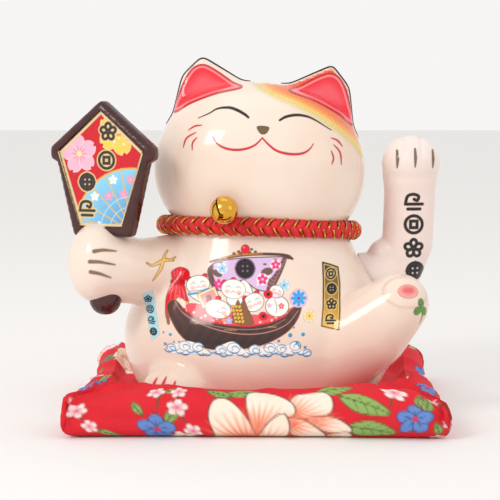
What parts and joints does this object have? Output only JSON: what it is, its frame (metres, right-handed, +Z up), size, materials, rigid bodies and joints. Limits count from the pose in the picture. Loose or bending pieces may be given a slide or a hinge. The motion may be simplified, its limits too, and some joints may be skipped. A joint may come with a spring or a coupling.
{
  "type": "beckoning cat figurine with waving arm",
  "caption": "Ceramic beckoning cat on a printed cushion, with a waving battery-driven arm, a plaque, a braided collar and a bell.",
  "frame": {"origin": "middle of the whole object's bounding box, on the floor under the cushion", "axes": "+Z up; -Y the way the cat faces; +X towards the waving arm"},
  "size_m": [0.2379, 0.2186, 0.2157],
  "materials": {
    "glazed_ceramic": "glossy",
    "brown_glaze": "glossy",
    "cream_plastic": "satin",
    "white_plastic": "satin",
    "black_plastic": "satin",
    "red_insulation": "satin",
    "bright_steel": "satin",
    "brass": "satin",
    "aluminium": "satin",
    "copper_wire": "satin",
    "board_green": "satin",
    "cell_label": "glossy",
    "bell_gold": "polished",
    "red_cord": "matte",
    "printed_cotton": "matte"
  },
  "bodies": {
    "root": {"cushion": "printed_cotton"},
    "cat": {"ceramic_cat": "glazed_ceramic", "plaque_board": "brown_glaze", "handle_end": "brown_glaze", "collar_cord": "red_cord", "bell_tie": "bell_gold", "base_cover": "black_plastic", "switch_body": "bright_steel", "battery_box": "black_plastic", "aa_cell_1": "cell_label", "aa_cell_2": "cell_label", "contact_spring_1": "bright_steel", "contact_spring_2": "bright_steel", "contact_plate_1": "bright_steel", "contact_plate_2": "bright_steel", "lead_black": "black_plastic", "lead_red": "red_insulation", "movement_frame": "black_plastic", "frame_screw_1": "bright_steel", "frame_screw_2": "bright_steel", "frame_screw_3": "bright_steel", "frame_screw_4": "bright_steel", "shaft_bush_inner": "brass", "shaft_bush_outer": "brass", "coil_bobbin": "black_plastic", "coil_winding": "copper_wire", "circuit_board": "board_green", "timer_chip": "black_plastic", "storage_capacitor": "aluminium"},
    "waving_arm": {"arm_front_shell": "cream_plastic", "arm_back_shell": "cream_plastic", "arm_hub": "white_plastic", "arm_shaft": "bright_steel", "shaft_clip_inner": "bright_steel", "shaft_clip_outer": "bright_steel", "pendulum_lever": "white_plastic", "counterweight": "bright_steel", "pendulum_magnet": "bright_steel"},
    "bell": {"bell_top_shell": "bell_gold", "bell_slotted_shell": "bell_gold"},
    "bell_pea": {"bell_pea": "bright_steel"},
    "switch_knob": {"switch_knob": "white_plastic"},
    "battery_door": {"battery_door": "black_plastic"}
  },
  "joints": [
    {"name": "cat_lift", "type": "slide", "parent": "root", "child": "cat", "axis": [0, 0, 1], "range_m": [0, 0.06]},
    {"name": "arm_wave", "type": "hinge", "parent": "cat", "child": "waving_arm", "pos_m": [0.0055, 0.004, 0.082], "axis": [1, 0, 0], "range_deg": [-25, 25]},
    {"name": "bell_swing", "type": "hinge", "parent": "cat", "child": "bell", "pos_m": [-0.01295, -0.05235, 0.12108], "axis": [0.9673, -0.2534, -0.0091], "range_deg": [0, 70]},
    {"name": "pea_rattle", "type": "slide", "parent": "bell", "child": "bell_pea", "axis": [-0.2025, -0.7937, 0.5736], "range_m": [-0.0035, 0.0035]},
    {"name": "switch_slide", "type": "slide", "parent": "cat", "child": "switch_knob", "axis": [1, 0, 0], "range_m": [0, 0.003]},
    {"name": "door_slide", "type": "slide", "parent": "cat", "child": "battery_door", "axis": [1, 0, 0], "range_m": [0, 0.006]}
  ]
}
